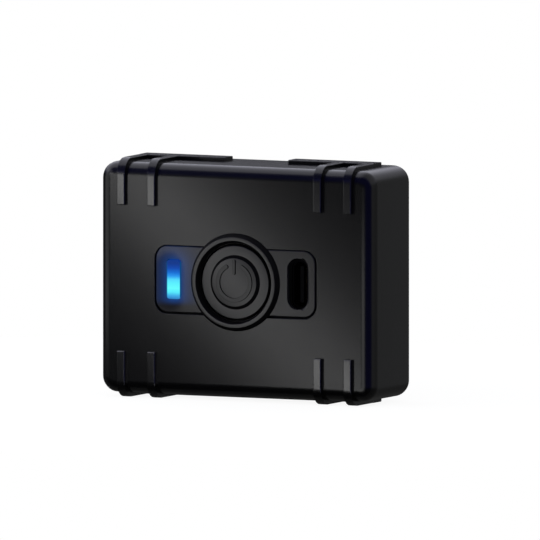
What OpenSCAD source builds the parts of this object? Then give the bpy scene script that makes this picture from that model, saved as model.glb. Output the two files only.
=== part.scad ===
// Small battery GPS tracker. A ribbed moulded housing carries an inlaid control panel with
// a status window, a power button in a raised bezel and a charging port. A screwed cover
// closes the back, and the circuit board and the flat battery lie inside.
// The front faces -Y, the tracker stands on its lower bar, and all lengths are in mm.

/* [Body] */
// Width of the housing
body_w = 55.4; // [54:0.2:64]
// Height of the housing between its top and bottom faces
body_h = 42.4; // [42:0.4:50]
// Depth of the housing from its front face to its back
body_d = 16.5; // [16:0.5:20]
// Radius of the corners seen from the front
corner_r = 3; // [2.6:0.2:4]
// Fillet round the front face
front_fillet = 2.4; // [1.2:0.2:3]
// Fillet round the back edge
back_fillet = 1; // [0.4:0.1:1.2]
// Thickness of the front wall
front_wall = 2; // [1.8:0.1:2.2]
// Thickness of the side walls
side_wall = 2.3; // [2.1:0.1:2.5]
// Thickness of the rim that frames the rear cover
rim_t = 1.3; // [1.2:0.1:1.5]

/* [Ribs and bars] */
// Width of each rib
rib_w = 1.6; // [1.2:0.1:2]
// Height of the ribs and bars above the faces that they stand on
rib_h = 0.8; // [0.5:0.1:1.1]
// Chamfer along the crowns
rib_chamfer = 0.15; // [0.1:0.05:0.4]
// Length of each rib on the front face
rib_run = 7.8; // [5:0.2:10]
// Distance of the outer ribs from the body's sides
rib_edge = 4.8; // [4.1:0.1:6]
// Distance between the two ribs of a pair
rib_pitch = 6.1; // [4:0.1:7]
// Distance of each upper bar's inner end from the middle
bar_inner_x = 6.4; // [4:0.4:12]
// Depth from the front face to the bars
bar_depth = 9; // [7:0.5:11]
// Width of the bars from front to back
bar_w = 3.4; // [2.4:0.2:4]

/* [Control panel] */
// Width of the inlaid panel
panel_w = 32.4; // [31:0.2:33]
// Height of the inlaid panel
panel_h = 12.2; // [11.4:0.2:13]
// Corner radius of the panel
panel_r = 2.3; // [1.5:0.1:3]
// Thickness of the panel
panel_t = 0.9; // [0.8:0.05:1]
// Distance of the status window and of the port from the middle
control_x = 12.6; // [12.4:0.1:13]

/* [Power button] */
// Radius of the bezel where it meets the panel
bezel_r = 8.9; // [8.8:0.1:9.2]
// Height of the bezel above the panel
bezel_h = 0.95; // [0.85:0.05:1.1]
// Width of the bezel's crown
bezel_crown = 0.75; // [0.6:0.05:0.8]
// Radius of the bezel's crown, along its middle
bezel_crest_r = 8; // [7.95:0.05:8.05]
// Radius of the bezel's bore
bezel_bore = 7.15; // [7:0.05:7.2]
// Depth of the button's well behind the panel's face
well_depth = 1.6; // [1.4:0.1:1.8]
// Radius of the button's cap
cap_r = 6.8; // [6.4:0.05:6.85]
// Height of the cap's rim above the panel
cap_h = 0.1; // [0:0.05:0.3]
// Radius of the raised disc on the cap
disc_r = 5; // [4:0.1:5.5]
// Height of the disc above the cap
disc_h = 0.5; // [0.3:0.05:0.6]
// Radius of the button's stem
stem_r = 1.6; // [1.4:0.05:1.65]
// Travel of the button
button_travel = 0.5; // [0.3:0.05:0.5]

/* [Status window and port] */
// Width of the status window
window_w = 2.9; // [2.4:0.1:3.2]
// Height of the status window
window_h = 7.2; // [6:0.2:7.6]
// Width of the port's slot in the panel
slot_w = 4; // [3.8:0.1:4.2]
// Height of the port's slot in the panel
slot_h = 9.4; // [9.2:0.1:9.8]
// Width of the receptacle's shell
port_w = 3.2; // [3.1:0.05:3.4]
// Height of the receptacle's shell, along the slot
port_h = 8.9; // [8.8:0.05:9]
// Length of the receptacle, from its mouth to the board
port_l = 6.1; // [6:0.1:6.4]
// Depth of the receptacle's mouth behind the panel's face
port_recess = 1.2; // [1:0.1:1.3]

/* [Rear cover] */
// Thickness of the rear cover
cover_t = 2.2; // [2:0.1:2.3]
// Thickness of the cover's seal
seal_t = 0.5; // [0.4:0.05:0.6]
// Radius of the cover screws' heads
case_head_r = 1.9; // [1.7:0.1:2]
// Radius of the cover screws' shanks
case_shank_r = 0.95; // [0.8:0.05:1]
// Length of the cover screws' shanks
case_shank_l = 8; // [5:0.5:10]

/* [Circuit board] */
// Thickness of the circuit board
board_t = 1; // [0.8:0.1:1.2]
// Width and height of the push switch
switch_w = 6.2; // [5:0.2:6.4]
// Height of the push switch's body
switch_h = 2.3; // [2.2:0.1:2.5]
// Height of the switch's plunger above its body
plunger_h = 0.8; // [0.7:0.05:0.9]
// Width of the cellular module
modem_w = 17; // [14:0.5:17.5]
// Height of the cellular module
modem_h = 13; // [11:0.5:13.2]
// Side of the satellite antenna's ceramic tile
tile_w = 13; // [11:0.5:13.2]
// Thickness of the satellite antenna's ceramic tile
tile_t = 4; // [2.5:0.5:4.5]

/* [Battery] */
// Width of the battery cell
cell_w = 36; // [30:1:37]
// Height of the battery cell
cell_h = 32; // [26:1:33]
// Thickness of the battery cell
cell_t = 4.8; // [4:0.2:5.2]

/* [Hidden] */

// Overrun of every cut past the face that it opens
over = 0.5;
// Play between inlaid or seated pieces
fit = 0.15;
// Play round shanks and shafts
slip = 0.05;
// Steps in a quarter turn of an outline
corner_steps = 6;

// Bosses, posts and their places
boss_r = 2.6;
boss_inset = 2.3;
post_r = 1.7;
post_rise = 10;
post_inset = 2.6;
web_t = 1.2;
board_head_r = 1.4;
board_head_h = 0.8;
board_shank_r = 0.7;
board_shank_l = 3.6;
case_head_h = 1.1;
head_recess_d = 0.6;
case_hex_r = 1;
board_hex_r = 0.6;

// Button, its guide and its seal
bezel_wall = 0.4;
bezel_cover = 0.2;
bezel_round = 0.15;
cap_round = 0.25;
disc_slope = 0.5;
well_back_r = 8.2;
well_back_t = 0.8;
guide_r = 3.2;
guide_l = 1.4;
ring_d = 0.7;
ring_inset = 0.75;
clip_t = 0.4;
clip_r = 2.4;
clip_mouth = 1.4;
clip_groove = 0.4;
stop_gap = 0.15;
touch = 0.02;
plunger_r = 1.5;
plunger_guide = 0.6;
switch_leg_w = 0.7;
switch_leg_l = 1.1;
switch_leg_t = 0.25;

// Window, status light and port
window_r = 0.7;
lens_lip = 0.6;
lens_lip_t = 0.5;
pipe_w = 2.3;
pipe_h = 5;
led_w = 2.2;
led_h = 3.4;
led_t = 0.8;
led_gap = 0.3;
shell_t = 0.3;
tongue_t = 0.7;
tongue_h = 6.7;
tongue_recess = 0.7;
insert_base = 1.2;
leg_w = 0.9;
leg_x = 0.5;
gasket_wall = 0.6;
gasket_l = 1.5;

// Board and what it carries, laid out for a hollow of this width and height
layout_w = 50.8;
layout_h = 37.8;
board_gap = 0.4;
notch = 3;
module_t = 0.6;
shield_t = 0.2;
shield_h = 1.8;
shield_inset = 0.4;
modem_x = 10;
modem_z = 10.9;
tile_x = 12.4;
tile_z = 10.9;
feed_r = 0.5;
gnss_w = 9.6;
gnss_h = 9.8;
gnss_t = 2.2;
gnss_x = 7.6;
gnss_z = 12;
card_w = 12.3;
card_h = 8.8;
card_t = 0.67;
socket_wall = 0.8;
socket_floor = 0.35;
socket_roof = 0.25;
sim_x = 11;
sim_z = 12;
chip_w = 3;
chip_t = 0.9;
chip_x = 15.2;
chip_z = 8.2;
coil_w = 4;
coil_t = 1.8;
coil_x = 16.8;
coil_z = 13.2;
sensor_w = 2;
sensor_t = 0.9;
sensor_x = 18.6;
film_t = 0.3;
film_w = 34;
film_l = 4;
film_start = 0.4;
contact_w = 2.4;
contact_l = 2;
contact_t = 0.2;
contact_rise = 3.2;

// Battery, its leads and its plug
cell_r = 1.6;
cell_shift = 1.2;
guard_w = 3;
guard_h = 26;
guard_t = 3;
foam_w = 8;
foam_h = 26;
foam_x = 12;
tape_w = 28;
tape_h = 24;
tape_t = 0.2;
lead_d = 0.9;
lead_pitch = 1.25;
lead_bend = 1.2;
lead_rise = 2;
plug_off = 22.6;
plug_w = 3.6;
plug_t = 2;
plug_l = 4;
plug_in = 1.6;
socket_w = 4.4;
socket_t = 3;
socket_l = 4.6;
lead_depth = 1.5;

// The front face's place and the middle height: the origin is at the middle of the
// whole outline, on the surface that the tracker stands on
front_y = (max(bezel_h, rib_h) - body_d) / 2;
mid_z = rib_h + body_h / 2;
front_r = min(front_fillet, corner_r);
top = body_h / 2;
rib_root = min(front_wall, side_wall) / 2;
rib_outer_x = body_w / 2 - rib_edge;
rib_inner_x = rib_outer_x - rib_pitch;

// The hollow, the cover's seat and the board's place, as depths behind the front face
cavity_w = body_w - 2 * side_wall;
cavity_h = body_h - 2 * side_wall;
cavity_r = max(corner_r - side_wall, fit);
wide_share = cavity_w / layout_w;
high_share = cavity_h / layout_h;
seat = body_d - cover_t;
rim_w = body_w - 2 * rim_t;
rim_h = body_h - 2 * rim_t;
rim_r = corner_r - rim_t;
board_front = port_recess + port_l;
board_back = board_front + board_t;
boss_x = cavity_w / 2 - boss_inset;
boss_z = cavity_h / 2 - boss_inset;
post_x = cavity_w / 2 - post_inset;
post_z = post_rise * high_share;
board_w = cavity_w - 2 * board_gap;
board_h = cavity_h - 2 * board_gap;

// The button's stack, as depths behind the front face
cap_back = well_depth - button_travel - stop_gap;
ring_depth = well_depth + ring_inset;
guide_end = front_wall + guide_l;
clip_start = guide_end + slip;
switch_face = board_front - switch_h;
plunger_face = switch_face - plunger_h;
stem_bore = stem_r + fit;
groove_r = stem_bore - slip - ring_d;
spigot_r = bezel_bore + bezel_wall;
crown_in = bezel_crest_r - bezel_crown / 2;
crown_out = bezel_crest_r + bezel_crown / 2;

// The card socket's height, and the battery's stack
sim_t = socket_floor + card_t + 2 * slip + socket_roof;
tape_start = seat - tape_t;
cell_start = tape_start - cell_t;
guard_edge = (cell_w / 2 - cell_shift + guard_w) * wide_share;
plug_x = plug_off * wide_share;
lead_y = board_back + lead_depth;
plug_top = plug_l - plug_in;

// A length of arc as points, round a centre, from one angle to another
function arc_points(cx, cy, r, from, to, steps = corner_steps) = [
    for (i = [0 : steps])
        let (a = from + (to - from) * i / steps)
        [cx + r * cos(a), cy + r * sin(a)]
];

// A rectangle with round corners, as points round its middle
function frame_points(w, h, r) = [
    for (q = [0 : 3])
        let (sx = q == 0 || q == 3 ? 1 : -1, sz = q < 2 ? 1 : -1)
        each arc_points(sx * (w / 2 - r), sz * (h / 2 - r), r, q * 90, q * 90 + 90)
];

// Places the children, drawn in depth and height, on the body's middle line
module on_body() translate([0, front_y, mid_z]) children();

// Extrudes an outline, drawn as seen from the front, between two depths
module slab(from, to)
    translate([0, front_y + to, mid_z]) rotate([90, 0, 0]) linear_extrude(to - from) children();

// Turns a profile of radius and height above the panel round the button's axis
module turned(points)
    on_body() rotate([90, 0, 0]) rotate_extrude($fn = 96) polygon(points);

module frame(w, h, r) polygon(frame_points(w, h, r));

module box_at(x, z, w, h) translate([x - w / 2, z - h / 2]) square([w, h]);

module disc_at(x, z, r) translate([x, z]) circle(r, $fn = 48);

// A box of the layout inside, which follows the hollow's width and height
module box_inside(x, z, w, h)
    box_at(x * wide_share, z * high_share, w * wide_share, h * high_share);

// Repeats the children in all four quarters
module four_ways()
    for (x = [0, 1], z = [0, 1]) mirror([x, 0, 0]) mirror([0, z, 0]) children();

// The inlaid panel's outline, with the round part that carries the bezel
module panel_outline(grow) {
    frame(panel_w + 2 * grow, panel_h + 2 * grow, panel_r + grow);
    disc_at(0, 0, bezel_r - bezel_cover + grow);
}

// One corner of the housing as a post with its front and back edges rounded
module corner_post()
    rotate_extrude($fn = 32) polygon([
        [0, 0],
        each arc_points(corner_r - front_r, front_r, front_r, -90, 0),
        each arc_points(corner_r - back_fillet, body_d - back_fillet, back_fillet, 0, 90, 3),
        [0, body_d]
    ]);

module body_form()
    on_body() rotate([-90, 0, 0]) hull()
        for (x = [-1, 1], z = [-1, 1])
            translate([x * (body_w / 2 - corner_r), z * (body_h / 2 - corner_r), 0]) corner_post();

// A rib seen from the side: up the front face, over the rounded edge and back to the bar
module rib_side()
    polygon([
        [rib_root, top - rib_run],
        [rib_chamfer - rib_h, top - rib_run],
        [-rib_h, top - rib_run + rib_chamfer],
        each arc_points(front_r, top - front_r, front_r + rib_h, 180, 90),
        [bar_depth + bar_w / 2, top + rib_h],
        [bar_depth + bar_w / 2, top - rib_root],
        [rib_root, top - rib_root]
    ]);

// A rib cut across, with its chamfered crown at the given height and its root at the other
module rib_across(crown, root)
    polygon([
        [-rib_w / 2, root],
        [-rib_w / 2, crown - rib_chamfer],
        [rib_chamfer - rib_w / 2, crown],
        [rib_w / 2 - rib_chamfer, crown],
        [rib_w / 2, crown - rib_chamfer],
        [rib_w / 2, root]
    ]);

module rib(x)
    translate([x, 0, 0]) intersection() {
        rotate([90, 0, 90]) linear_extrude(rib_w, center = true) rib_side();
        mirror([0, 1, 0]) linear_extrude(body_h) rib_across(rib_h, -body_d);
        translate([0, body_d, 0]) rotate([90, 0, 0]) linear_extrude(2 * body_d)
            rib_across(top + rib_h, 0);
    }

module bar_side()
    polygon([
        [bar_depth, top - rib_root],
        [bar_depth, top + rib_h - rib_chamfer],
        [bar_depth + rib_chamfer, top + rib_h],
        [bar_depth + bar_w - rib_chamfer, top + rib_h],
        [bar_depth + bar_w, top + rib_h - rib_chamfer],
        [bar_depth + bar_w, top - rib_root]
    ]);

module bar(start)
    translate([start, 0, 0]) rotate([90, 0, 90])
        linear_extrude(rib_outer_x + rib_w / 2 - start) bar_side();

// The upper bars leave a gap between them, and the lower ones meet in the middle
module ribs()
    on_body() for (x = [0, 1], z = [0, 1]) mirror([x, 0, 0]) mirror([0, 0, z]) {
        rib(rib_inner_x);
        rib(rib_outer_x);
        bar(z == 0 ? bar_inner_x : -over);
    }

// Corner bosses for the cover's screws and posts for the board, with webs to the walls
module boss_outline() four_ways() disc_at(boss_x, boss_z, boss_r);

module post_outline()
    four_ways() {
        disc_at(post_x, post_z, post_r);
        translate([post_x, post_z - web_t / 2]) square([post_inset + rib_root, web_t]);
    }

module hollow()
    difference() {
        slab(front_wall, seat) frame(cavity_w, cavity_h, cavity_r);
        slab(front_wall - over, seat + over) boss_outline();
        slab(front_wall - over, board_front) post_outline();
        slab(front_wall - over, front_wall + well_back_t) disc_at(0, 0, well_back_r);
        slab(front_wall - over, guide_end) disc_at(0, 0, guide_r);
    }

module housing()
    color("#2b2b2f") difference() {
        union() {
            body_form();
            ribs();
        }
        hollow();
        slab(seat, body_d + over) frame(rim_w, rim_h, rim_r);
        slab(-over, panel_t) panel_outline(fit);
        slab(0, well_depth) disc_at(0, 0, bezel_bore);
        slab(0, guide_end + over) disc_at(0, 0, stem_bore);
        slab(0, panel_t + lens_lip_t) box_at(-control_x, 0, window_w + 2 * (lens_lip + fit),
            window_h + 2 * (lens_lip + fit));
        slab(0, front_wall + over) box_at(-control_x, 0, pipe_w + 2 * fit, pipe_h + 2 * fit);
        slab(0, front_wall + over) translate([control_x, 0])
            frame(port_w + 2 * gasket_wall, port_h + 2 * gasket_wall, port_w / 2);
        slab(seat - case_shank_l, seat + over) four_ways()
            disc_at(boss_x, boss_z, case_shank_r + slip);
        slab(board_front - board_shank_l, board_front + over) four_ways()
            disc_at(post_x, post_z, board_shank_r + slip);
    }

module rear_cover()
    color("#262629") difference() {
        union() {
            slab(seat + seal_t, body_d) frame(rim_w - 2 * fit, rim_h - 2 * fit, rim_r - fit);
            slab(seat, seat + seal_t + over) frame(cavity_w, cavity_h, cavity_r);
        }
        slab(seat - over, body_d + over) four_ways()
            disc_at(boss_x, boss_z, case_shank_r + fit);
        slab(body_d - case_head_h - fit, body_d + over) four_ways()
            disc_at(boss_x, boss_z, case_head_r + fit);
    }

module cover_seal()
    color("#3c3c40") slab(seat, seat + seal_t) difference() {
        frame(rim_w - 2 * fit, rim_h - 2 * fit, rim_r - fit);
        frame(cavity_w + 2 * slip, cavity_h + 2 * slip, cavity_r + slip);
    }

module case_screws()
    color("#6d6f73") difference() {
        union() {
            slab(body_d - case_head_h - fit, body_d - fit) four_ways()
                disc_at(boss_x, boss_z, case_head_r);
            slab(body_d - case_head_h - case_shank_l, body_d - case_head_h) four_ways()
                disc_at(boss_x, boss_z, case_shank_r);
        }
        slab(body_d - fit - head_recess_d, body_d + over) four_ways()
            translate([boss_x, boss_z]) circle(case_hex_r, $fn = 6);
    }

module control_panel()
    color("#34343a") difference() {
        slab(0, panel_t) panel_outline(0);
        slab(-over, panel_t + over) {
            disc_at(0, 0, spigot_r + slip);
            translate([-control_x, 0]) frame(window_w + 2 * slip, window_h + 2 * slip, window_r + slip);
            translate([control_x, 0]) frame(slot_w, slot_h, slot_w / 2);
        }
    }

module button_bezel()
    color("#303035") turned([
        [bezel_bore, -panel_t],
        [spigot_r, -panel_t],
        [spigot_r, 0],
        [bezel_r, 0],
        each arc_points(crown_out - bezel_round, bezel_h - bezel_round, bezel_round, 30, 90, 4),
        each arc_points(crown_in + bezel_round, bezel_h - bezel_round, bezel_round, 90, 165, 4),
        [bezel_bore, 0]
    ]);

module power_button()
    color("#2e2e33") turned([
        [0, cap_h + disc_h],
        [disc_r - disc_slope, cap_h + disc_h],
        [disc_r, cap_h],
        each arc_points(cap_r - cap_round, cap_h - cap_round, cap_round, 90, 0),
        [cap_r, -cap_back],
        [stem_r, -cap_back],
        [stem_r, ring_d / 2 + slip - ring_depth],
        [groove_r, ring_d / 2 + slip - ring_depth],
        [groove_r, -ring_d / 2 - slip - ring_depth],
        [stem_r, -ring_d / 2 - slip - ring_depth],
        [stem_r, -clip_start],
        [stem_r - clip_groove, -clip_start],
        [stem_r - clip_groove, -clip_start - clip_t],
        [stem_r, -clip_start - clip_t],
        [stem_r, -plunger_face + touch],
        [0, -plunger_face + touch]
    ]);

module button_oring()
    color("#1f1f22") on_body() translate([0, ring_depth, 0]) rotate([90, 0, 0])
        rotate_extrude($fn = 64) translate([groove_r + ring_d / 2, 0]) circle(ring_d / 2, $fn = 32);

module button_clip()
    color("#8d9095") slab(clip_start, clip_start + clip_t) difference() {
        disc_at(0, 0, clip_r);
        disc_at(0, 0, stem_r - clip_groove);
        translate([-clip_mouth / 2, 0]) square([clip_mouth, clip_r + over]);
    }

module tact_switch()
    color("#202225") difference() {
        union() {
            slab(switch_face, board_front) box_at(0, 0, switch_w, switch_w);
            slab(board_front - switch_leg_t, board_front) four_ways()
                box_at(switch_w / 2 + switch_leg_l / 2 - slip, switch_w / 2 - switch_leg_w,
                    switch_leg_l + slip, switch_leg_w);
        }
        slab(switch_face - over, switch_face + plunger_guide + button_travel + stop_gap)
            disc_at(0, 0, plunger_r + fit);
    }

module switch_plunger()
    color("#b9bcc0") slab(plunger_face, switch_face + plunger_guide) disc_at(0, 0, plunger_r);

module led_lens()
    color("#4fb4ff") union() {
        slab(0, panel_t) translate([-control_x, 0]) frame(window_w, window_h, window_r);
        slab(panel_t, panel_t + lens_lip_t)
            box_at(-control_x, 0, window_w + 2 * lens_lip, window_h + 2 * lens_lip);
        slab(panel_t, board_front - led_t - led_gap) box_at(-control_x, 0, pipe_w, pipe_h);
    }

module status_led()
    color("#e9edf2") slab(board_front - led_t, board_front) box_at(-control_x, 0, led_w, led_h);

// The port's outline: a slot with round ends, along the height
module port_outline(shrink)
    translate([control_x, 0]) frame(port_w - 2 * shrink, port_h - 2 * shrink, port_w / 2 - shrink);

module leg_outline(grow)
    for (x = [-1, 1], z = [-1, 1])
        box_at(control_x + x * (port_w / 2 - shell_t / 2), z * (port_h / 2 - port_w / 2 - leg_x),
            shell_t + 2 * grow, leg_w + 2 * grow);

module usb_shell()
    color("#5a5d62") union() {
        slab(port_recess, board_front) difference() {
            port_outline(0);
            port_outline(shell_t);
        }
        slab(board_front - shell_t, board_back) leg_outline(0);
    }

module usb_insert()
    color("#121214") union() {
        slab(board_front - insert_base, board_front) port_outline(shell_t);
        slab(port_recess + tongue_recess, board_front) box_at(control_x, 0, tongue_t, tongue_h);
    }

module usb_gasket()
    color("#18181a") slab(panel_t, panel_t + gasket_l) difference() {
        translate([control_x, 0])
            frame(port_w + 2 * (gasket_wall - slip), port_h + 2 * (gasket_wall - slip), port_w / 2);
        port_outline(-slip);
    }

module main_board()
    color("#1d4a35") slab(board_front, board_back) difference() {
        box_at(0, 0, board_w, board_h);
        four_ways() translate([boss_x - notch, boss_z - notch]) square(body_w);
        four_ways() disc_at(post_x, post_z, board_shank_r + fit);
        leg_outline(slip);
        disc_at(-tile_x * wide_share, tile_z * high_share, feed_r + fit);
    }

module board_screws()
    color("#8a8c90") difference() {
        union() {
            slab(board_back, board_back + board_head_h) four_ways()
                disc_at(post_x, post_z, board_head_r);
            slab(board_front + slip - board_shank_l, board_back + slip) four_ways()
                disc_at(post_x, post_z, board_shank_r);
        }
        slab(board_back + board_head_h - head_recess_d, board_back + board_head_h + over)
            four_ways() translate([post_x, post_z]) circle(board_hex_r, $fn = 6);
    }

module modem_board()
    color("#27503c") slab(board_front - module_t, board_front)
        box_inside(-modem_x, -modem_z, modem_w, modem_h);

module modem_shield()
    color("#b4b7ba") difference() {
        slab(board_front - module_t - shield_h, board_front - module_t)
            box_inside(-modem_x, -modem_z, modem_w - 2 * shield_inset, modem_h - 2 * shield_inset);
        slab(board_front - module_t - shield_h + shield_t, board_front)
            box_inside(-modem_x, -modem_z, modem_w - 2 * (shield_inset + shield_t),
                modem_h - 2 * (shield_inset + shield_t));
    }

module gnss_module()
    color("#a9acb0") slab(board_front - gnss_t, board_front)
        box_inside(gnss_x, -gnss_z, gnss_w, gnss_h);

module gnss_antenna()
    color("#c9b89a") union() {
        slab(board_front - tile_t, board_front) box_inside(-tile_x, tile_z, tile_w, tile_w);
        slab(board_front - over, board_back)
            disc_at(-tile_x * wide_share, tile_z * high_share, feed_r);
    }

// A film antenna on the inner side of the top wall, and the spring that feeds it
module cellular_antenna()
    color("#b5732f") slab(front_wall + film_start, front_wall + film_start + film_l)
        box_at(0, cavity_h / 2 - film_t / 2, film_w * wide_share, film_t);

module antenna_contact()
    color("#c8a24a") union() {
        slab(board_front - contact_t, board_front)
            box_at(0, cavity_h / 2 - film_t - fit - contact_l / 2, contact_w, contact_l);
        slab(board_front - contact_rise, board_front)
            box_at(0, cavity_h / 2 - film_t - fit - contact_t / 2, contact_w, contact_t);
    }

module sim_socket()
    color("#9a9da1") difference() {
        slab(board_front - sim_t, board_front)
            box_inside(sim_x, sim_z, card_w + 2 * socket_wall, card_h + 2 * socket_wall);
        slab(board_front - sim_t + socket_roof, board_front - socket_floor)
            box_inside(sim_x + socket_wall, sim_z, card_w + 2 * socket_wall + 2 * slip, card_h + 2 * slip);
    }

module nano_sim()
    color("#e4e2da") slab(board_front - socket_floor - slip - card_t, board_front - socket_floor - slip)
        box_inside(sim_x, sim_z, card_w, card_h);

module charger_chip()
    color("#1b1b1e") slab(board_front - chip_t, board_front)
        box_inside(chip_x, -chip_z, chip_w, chip_w);

module power_inductor()
    color("#4a4a4e") slab(board_front - coil_t, board_front)
        box_inside(coil_x, -coil_z, coil_w, coil_w);

module motion_sensor()
    color("#222226") slab(board_front - sensor_t, board_front)
        box_inside(sensor_x, -chip_z, sensor_w, sensor_w);

module battery_cell()
    color("#b9bec4") slab(cell_start, tape_start) translate([-cell_shift * wide_share, 0])
        frame(cell_w * wide_share, cell_h * high_share, cell_r);

module protection_board()
    color("#d9a437") slab(cell_start, cell_start + guard_t)
        box_inside(cell_w / 2 - cell_shift + guard_w / 2, 0, guard_w, guard_h);

module battery_foam()
    color("#3a3a3d") slab(board_back, cell_start)
        for (x = [-1, 1]) box_inside(x * foam_x - cell_shift, 0, foam_w, foam_h);

module battery_tape()
    color("#f1efe6") slab(tape_start, seat) box_inside(-cell_shift, 0, tape_w, tape_h);

// One lead from the plug's end up to the bend and across to the cell's protection board
module lead(turn)
    translate([plug_x + turn * lead_pitch / 2, front_y + lead_y, mid_z]) {
        rise = lead_rise + (turn + 1) / 2 * lead_pitch;
        run = plug_x + turn * lead_pitch / 2 - lead_bend - guard_edge;
        translate([0, 0, plug_top + rise]) {
            mirror([0, 0, 1]) cylinder(h = rise, r = lead_d / 2, $fn = 24);
            translate([-lead_bend, 0, 0]) rotate([90, 0, 0])
                rotate_extrude(angle = 90, $fn = 48) translate([lead_bend, 0]) circle(lead_d / 2, $fn = 24);
            translate([-lead_bend, 0, lead_bend]) rotate([0, -90, 0])
                cylinder(h = run, r = lead_d / 2, $fn = 24);
        }
    }

module battery_lead_red() color("#b3202a") lead(1);

module battery_lead_black() color("#151517") lead(-1);

module battery_plug()
    color("#e7e3d6") slab(lead_y - plug_t / 2, lead_y + plug_t / 2)
        box_at(plug_x, plug_top - plug_l / 2, plug_w * wide_share, plug_l);

module battery_socket()
    color("#d8d4c6") difference() {
        slab(board_back, board_back + socket_t)
            box_at(plug_x, -socket_l / 2, socket_w * wide_share, socket_l);
        slab(lead_y - plug_t / 2 - slip, lead_y + plug_t / 2 + slip)
            box_at(plug_x, over / 2 - plug_in / 2 - slip, (plug_w + 2 * slip) * wide_share,
                plug_in + over + 2 * slip);
    }

housing();
rear_cover();
cover_seal();
case_screws();
control_panel();
button_bezel();
power_button();
button_oring();
button_clip();
tact_switch();
switch_plunger();
led_lens();
status_led();
usb_shell();
usb_insert();
usb_gasket();
main_board();
board_screws();
modem_board();
modem_shield();
gnss_module();
gnss_antenna();
cellular_antenna();
antenna_contact();
sim_socket();
nano_sim();
charger_chip();
power_inductor();
motion_sensor();
battery_cell();
protection_board();
battery_foam();
battery_tape();
battery_lead_red();
battery_lead_black();
battery_plug();
battery_socket();
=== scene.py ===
import math

import bmesh
import bpy
from mathutils import Matrix, Vector


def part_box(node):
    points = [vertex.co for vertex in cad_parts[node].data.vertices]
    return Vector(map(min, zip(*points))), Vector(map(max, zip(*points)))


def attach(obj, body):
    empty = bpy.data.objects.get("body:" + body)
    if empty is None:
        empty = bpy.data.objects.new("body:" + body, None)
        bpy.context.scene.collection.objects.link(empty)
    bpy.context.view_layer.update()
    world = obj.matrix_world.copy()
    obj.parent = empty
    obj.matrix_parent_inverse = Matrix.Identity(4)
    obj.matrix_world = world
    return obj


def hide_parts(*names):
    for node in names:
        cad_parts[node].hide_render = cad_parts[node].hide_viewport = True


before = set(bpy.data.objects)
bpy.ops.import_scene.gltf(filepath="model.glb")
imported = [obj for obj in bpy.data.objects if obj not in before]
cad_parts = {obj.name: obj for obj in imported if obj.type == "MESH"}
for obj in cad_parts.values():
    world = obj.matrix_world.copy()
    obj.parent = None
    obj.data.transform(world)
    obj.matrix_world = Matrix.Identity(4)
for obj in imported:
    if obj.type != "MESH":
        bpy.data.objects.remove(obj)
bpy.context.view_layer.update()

print("tracker: frame loaded,", len(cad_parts), "nodes")

mm = 0.001
scene = bpy.context.scene

panelLow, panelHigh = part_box("control_panel")  # its front is flush with the housing's front face
body = {"frontY": panelLow.y / mm, "midZ": (panelLow.z + panelHigh.z) / 2 / mm}


def at(x, depth, z):  # a place drawn as x, depth behind the front face and height from the middle
    return Vector((x * mm, (body["frontY"] + depth) * mm, (body["midZ"] + z) * mm))


def depths(*values):
    return [at(0, value, 0).y for value in values]


def heights(*values):
    return [at(0, 0, value).z for value in values]


# node helpers


class Nodes:  # short calls for what a tree of shader nodes needs
    def __init__(self, tree):
        self.tree = tree
        self.tree.nodes.clear()
        self.coords = self.add("ShaderNodeTexCoord")

    def add(self, kind, **fields):
        node = self.tree.nodes.new(kind)
        for key, value in fields.items():
            setattr(node, key, value)
        return node

    def put(self, node, **values):
        for key, value in values.items():
            node.inputs[key.replace("_", " ")].default_value = value

    def join(self, source, socket):
        self.tree.links.new(source, socket)

    def give(self, value, socket):  # a plain number, or another node's output
        if isinstance(value, (int, float)):
            socket.default_value = value
        else:
            self.join(value, socket)

    def axes(self, space="Object"):
        node = self.add("ShaderNodeSeparateXYZ")
        self.join(self.coords.outputs[space], node.inputs["Vector"])
        return [node.outputs[k] for k in "XYZ"]

    def calc(self, operation, *values):
        node = self.add("ShaderNodeMath", operation=operation)
        for value, socket in zip(values, node.inputs):
            self.give(value, socket)
        return node.outputs["Value"]

    def product(self, whole, *factors):
        for factor in factors:
            whole = self.calc("MULTIPLY", whole, factor)
        return whole

    def span(self, source, low, high, first, last, kind="LINEAR"):
        node = self.add("ShaderNodeMapRange", interpolation_type=kind)
        self.put(node, From_Min=low, From_Max=high, To_Min=first, To_Max=last)
        self.join(source, node.inputs["Value"])
        return node.outputs["Result"]

    def ease(self, source, low, high, first=0.0, last=1.0):
        return self.span(source, low, high, first, last, "SMOOTHSTEP")

    def blend(self, share, a, b):
        node = self.add("ShaderNodeMixShader")
        for value, socket in zip((share, a, b), node.inputs):
            self.join(value, socket)
        return node.outputs[0]


noiseBand = (0.3, 0.7)  # where nearly all of a noise's values lie


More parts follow.
